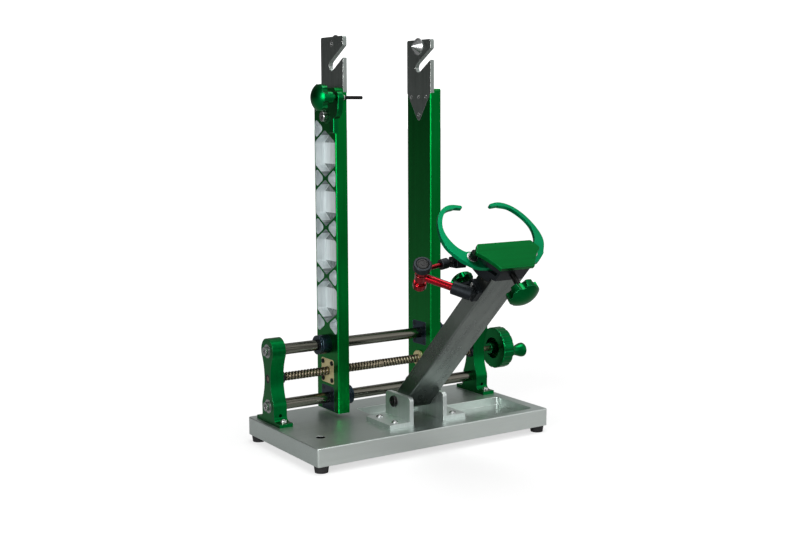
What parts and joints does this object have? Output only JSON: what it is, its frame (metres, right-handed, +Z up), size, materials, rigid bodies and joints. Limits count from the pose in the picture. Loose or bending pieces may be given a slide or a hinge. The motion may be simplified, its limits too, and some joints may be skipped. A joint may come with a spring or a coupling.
{
  "type": "bicycle wheel truing stand",
  "caption": "Bench stand that holds a bicycle wheel between two screw-driven uprights, with a tilting rim caliper, rotor gauge and indicator arm.",
  "frame": {"origin": "centre of the base plate's outline, on the bench surface under the feet", "axes": "+X along the guide rods toward the handwheel, -Y toward the person using it, +Z up"},
  "size_m": [0.4578, 0.4072, 0.5861],
  "materials": {
    "clear_aluminium": "fine milled, clear anodised",
    "green_anodised": "satin green anodised",
    "black_anodised": "satin black anodised",
    "red_anodised": "glossy red anodised",
    "rod_steel": "ground hardened steel",
    "screw_steel": "oiled rolled steel",
    "axle_steel": "dark brushed steel",
    "raw_steel": "bare drawn steel, satin",
    "stainless_steel": "bright stainless",
    "black_oxide_steel": "black oxide",
    "brass": "satin turned brass",
    "emerald_coat": "satin emerald coating",
    "rubber_black": "moulded rubber"
  },
  "bodies": {
    "frame": {"base_plate": "clear_aluminium", "feet": "rubber_black", "left_end_block": "green_anodised", "right_end_block": "green_anodised", "upper_guide_rod": "rod_steel", "lower_guide_rod": "rod_steel", "rod_end_washers": "stainless_steel", "rod_end_screws": "stainless_steel", "screw_bushes": "black_anodised", "left_arm_bracket": "clear_aluminium", "right_arm_bracket": "clear_aluminium", "arm_pivot_bolt": "black_oxide_steel"},
    "crank": {"leadscrew": "screw_steel", "handwheel": "green_anodised", "crank_pin": "stainless_steel"},
    "grip": {"crank_grip": "green_anodised"},
    "left_post": {"left_upright": "green_anodised", "left_upper_bearing": "black_anodised", "left_lower_bearing": "black_anodised", "left_screw_nut": "brass", "left_axle_plate": "axle_steel", "left_centre_cone": "axle_steel", "gauge_hinge_screw": "stainless_steel"},
    "right_post": {"right_upright": "green_anodised", "right_upper_bearing": "black_anodised", "right_lower_bearing": "black_anodised", "right_screw_nut": "brass", "right_axle_plate": "axle_steel", "right_centre_cone": "axle_steel"},
    "gauge": {"gauge_arm": "green_anodised", "gauge_sleeve": "stainless_steel"},
    "feeler": {"gauge_pin": "black_oxide_steel"},
    "feeler_knob": {"gauge_knob": "green_anodised"},
    "arm": {"arm_tube": "raw_steel", "caliper_body": "black_anodised", "caliper_plate": "green_anodised", "claw_hinge_screws": "black_oxide_steel", "indicator_base": "black_anodised"},
    "claw_left": {"left_claw": "emerald_coat"},
    "claw_right": {"right_claw": "emerald_coat"},
    "opener": {"opening_knob": "green_anodised", "opening_rod": "black_oxide_steel"},
    "clamp_screw": {"clamp_knob": "green_anodised"},
    "lower_link": {"indicator_socket": "black_anodised", "indicator_lower_link": "red_anodised", "elbow_cap": "red_anodised"},
    "upper_link": {"indicator_upper_link": "red_anodised", "wrist_sleeve": "black_anodised", "wrist_ball": "black_oxide_steel"},
    "elbow_screw": {"elbow_knob": "black_anodised"},
    "wrist": {"indicator_clamp": "black_anodised", "pointer": "black_oxide_steel"}
  },
  "joints": [
    {"name": "crank_turn", "type": "hinge", "parent": "frame", "child": "crank", "pos_m": [0.2, 0.05367, 0.1002], "axis": [1, 0, 0], "range_deg": [-2475, 2475]},
    {"name": "grip_spin", "type": "hinge", "parent": "crank", "child": "grip", "pos_m": [0.24, 0.03087, 0.0964], "axis": [1, 0, 0], "continuous": true},
    {"name": "left_post_slide", "type": "slide", "parent": "frame", "child": "left_post", "axis": [1, 0, 0], "range_m": [-0.035, 0.035]},
    {"name": "right_post_slide", "type": "slide", "parent": "frame", "child": "right_post", "axis": [1, 0, 0], "range_m": [-0.035, 0.035]},
    {"name": "gauge_swing", "type": "hinge", "parent": "left_post", "child": "gauge", "pos_m": [-0.0952, 0.0354, 0.4707], "axis": [1, 0, 0], "range_deg": [-12, 75]},
    {"name": "feeler_slide", "type": "slide", "parent": "gauge", "child": "feeler", "axis": [1, 0, 0], "range_m": [-0.0002, 0.0121]},
    {"name": "feeler_knob_turn", "type": "hinge", "parent": "gauge", "child": "feeler_knob", "pos_m": [-0.125, 0.009, 0.4969], "axis": [1, 0, 0], "range_deg": [-60, 4300]},
    {"name": "arm_tilt", "type": "hinge", "parent": "frame", "child": "arm", "pos_m": [0, -0.0354, 0.0643], "axis": [1, 0, 0], "range_deg": [-28, 25]},
    {"name": "opener_turn", "type": "hinge", "parent": "arm", "child": "opener", "pos_m": [0, -0.28295, 0.25187], "axis": [0, 0.7015, 0.7126], "range_deg": [-495, 695]},
    {"name": "claw_left_swing", "type": "hinge", "parent": "arm", "child": "claw_left", "pos_m": [-0.0486, -0.24226, 0.29249], "axis": [0, -0.7126, 0.7015], "range_deg": [-14, 10]},
    {"name": "claw_right_swing", "type": "hinge", "parent": "arm", "child": "claw_right", "pos_m": [0.0486, -0.24226, 0.29249], "axis": [0, -0.7126, 0.7015], "range_deg": [-10, 14]},
    {"name": "clamp_turn", "type": "hinge", "parent": "arm", "child": "clamp_screw", "pos_m": [-0.037, -0.20594, 0.26025], "axis": [0, 0.7015, 0.7126], "range_deg": [-90, 720]},
    {"name": "link_swivel", "type": "hinge", "parent": "arm", "child": "lower_link", "pos_m": [-0.044, -0.22917, 0.24663], "axis": [1, 0, 0], "range_deg": [-8, 8]},
    {"name": "elbow_turn", "type": "hinge", "parent": "lower_link", "child": "upper_link", "pos_m": [-0.087, -0.185, 0.2668], "axis": [-0.3127, -0.6293, 0.7115], "range_deg": [-1.5, 60]},
    {"name": "elbow_knob_turn", "type": "hinge", "parent": "lower_link", "child": "elbow_screw", "pos_m": [-0.087, -0.185, 0.2668], "axis": [-0.3127, -0.6293, 0.7115], "range_deg": [-30, 360]},
    {"name": "wrist_turn", "type": "hinge", "parent": "upper_link", "child": "wrist", "pos_m": [-0.041, -0.19, 0.283], "axis": [1, 0, 0], "range_deg": [-12, 12]}
  ],
  "couplings": [
    {"joint": "left_post_slide", "follows": "crank_turn", "m_per_rad": -0.00080851},
    {"joint": "right_post_slide", "follows": "crank_turn", "m_per_rad": 0.00080851},
    {"joint": "feeler_slide", "follows": "feeler_knob_turn", "m_per_rad": 0.00015915},
    {"joint": "claw_left_swing", "follows": "opener_turn", "ratio": -0.02},
    {"joint": "claw_right_swing", "follows": "opener_turn", "ratio": 0.02}
  ]
}
